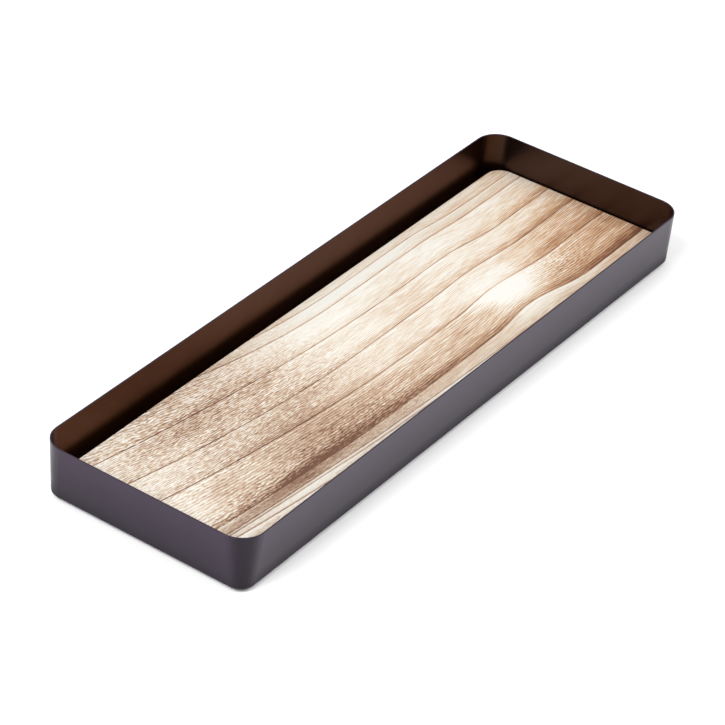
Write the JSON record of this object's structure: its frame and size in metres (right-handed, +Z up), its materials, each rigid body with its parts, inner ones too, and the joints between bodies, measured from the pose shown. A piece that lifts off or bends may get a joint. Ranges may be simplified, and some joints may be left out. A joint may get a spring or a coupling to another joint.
{
  "type": "serving tray",
  "caption": "Long shallow tray: a painted sheet-steel pan with outward-leaning walls and a loose wooden board lying in it.",
  "frame": {"origin": "on the table, under the centre of the tray", "axes": "+X along the length, +Y across the width, +Z up"},
  "size_m": [0.4, 0.13, 0.0345],
  "materials": {
    "pan_paint": "semi-gloss dark anthracite-brown paint",
    "board_wood": "flamed and brushed, unvarnished",
    "foot_rubber": "matt foam rubber",
    "pad_felt": "pressed felt"
  },
  "bodies": {
    "pan": {"steel_pan": "pan_paint", "foot_front_left": "foot_rubber", "foot_front_right": "foot_rubber", "foot_back_left": "foot_rubber", "foot_back_right": "foot_rubber"},
    "board": {"wood_board": "board_wood", "board_pad_front_left": "pad_felt", "board_pad_front_right": "pad_felt", "board_pad_back_left": "pad_felt", "board_pad_back_right": "pad_felt"}
  },
  "joints": [
    {"name": "board_lift", "type": "slide", "parent": "pan", "child": "board", "axis": [0, 0, 1], "range_m": [0, 0.045]}
  ]
}
